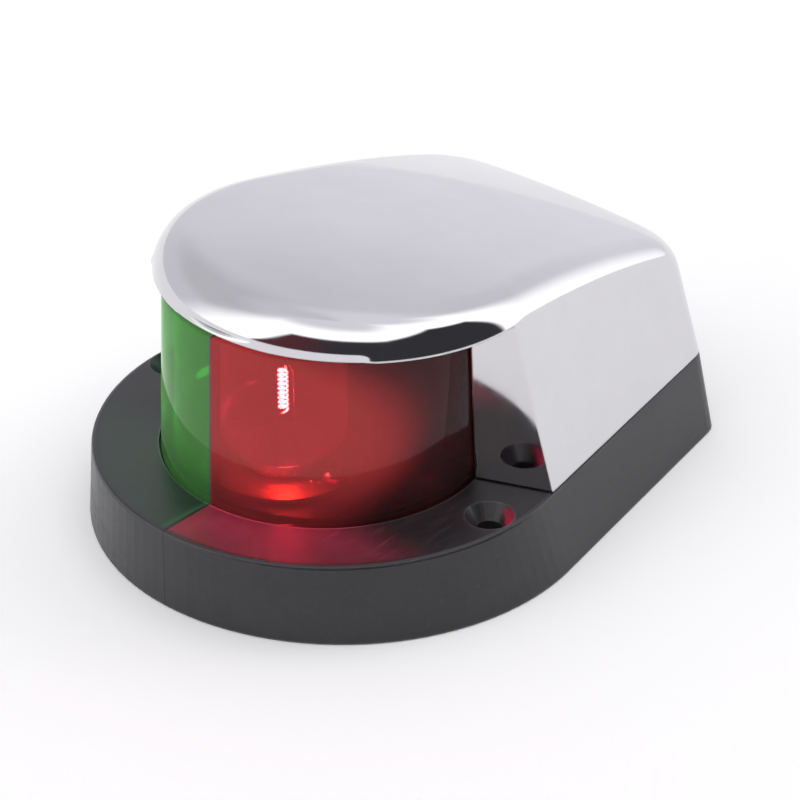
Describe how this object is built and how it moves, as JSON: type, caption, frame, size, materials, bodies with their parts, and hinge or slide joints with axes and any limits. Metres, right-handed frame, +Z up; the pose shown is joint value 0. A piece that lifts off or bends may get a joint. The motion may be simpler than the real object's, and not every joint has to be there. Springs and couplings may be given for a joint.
{
  "type": "bow navigation light",
  "caption": "Deck-mounted bi-colour bow navigation light: chrome hood with visor over a red port and green starboard lens, bayonet lamp inside, on a black flanged base.",
  "frame": {"origin": "on the deck plane, under the middle of the light's length and width", "axes": "-Y towards the bow, +X towards port (the red side), +Z up from the deck"},
  "size_m": [0.09, 0.109, 0.0537],
  "materials": {
    "base": "black moulded nylon, satin",
    "deck_gasket": "closed-cell black rubber",
    "hood": "polished chrome on die-cast zinc",
    "lens_red_port": "clear red moulded plastic",
    "lens_green_starboard": "clear green moulded plastic",
    "lens_joint_strip": "black bonding line",
    "seal": "black rubber cord",
    "lamp_socket": "pressed brass, dull",
    "socket_carrier": "brown phenolic board",
    "rear_screen": "matt black screen",
    "contact": "brass button",
    "bulb_glass": "clear lamp glass",
    "bulb_cap": "nickel-plated cap",
    "bulb_filament": "tungsten coil",
    "steel": "stainless steel",
    "wire_grommet": "black rubber"
  },
  "bodies": {
    "base": {"base": "base", "deck_gasket": "deck_gasket", "lens_red_port": "lens_red_port", "lens_green_starboard": "lens_green_starboard", "lens_joint_strip": "lens_joint_strip", "lens_seal_lower": "seal", "rear_screen": "rear_screen", "lamp_socket": "lamp_socket", "socket_carrier": "socket_carrier", "socket_contact": "contact", "socket_spring": "steel", "hood_screw_port": "steel", "hood_screw_starboard": "steel", "hood_washer_port": "steel", "hood_washer_starboard": "steel", "socket_screw_port": "steel", "socket_screw_starboard": "steel", "wire_grommet": "wire_grommet"},
    "hood": {"hood": "hood", "lens_seal_upper": "seal"},
    "lamp": {"bulb_glass": "bulb_glass", "bulb_cap": "bulb_cap", "bulb_contact": "contact", "bulb_filament": "bulb_filament"}
  },
  "joints": [
    {"name": "hood_lift", "type": "slide", "parent": "base", "child": "hood", "axis": [0, 0, 1], "range_m": [0, 0.06]},
    {"name": "lamp_turn", "type": "hinge", "parent": "base", "child": "lamp", "pos_m": [0, -0.0248, 0.0125], "axis": [0, 0, 1], "range_deg": [0, 20]}
  ]
}
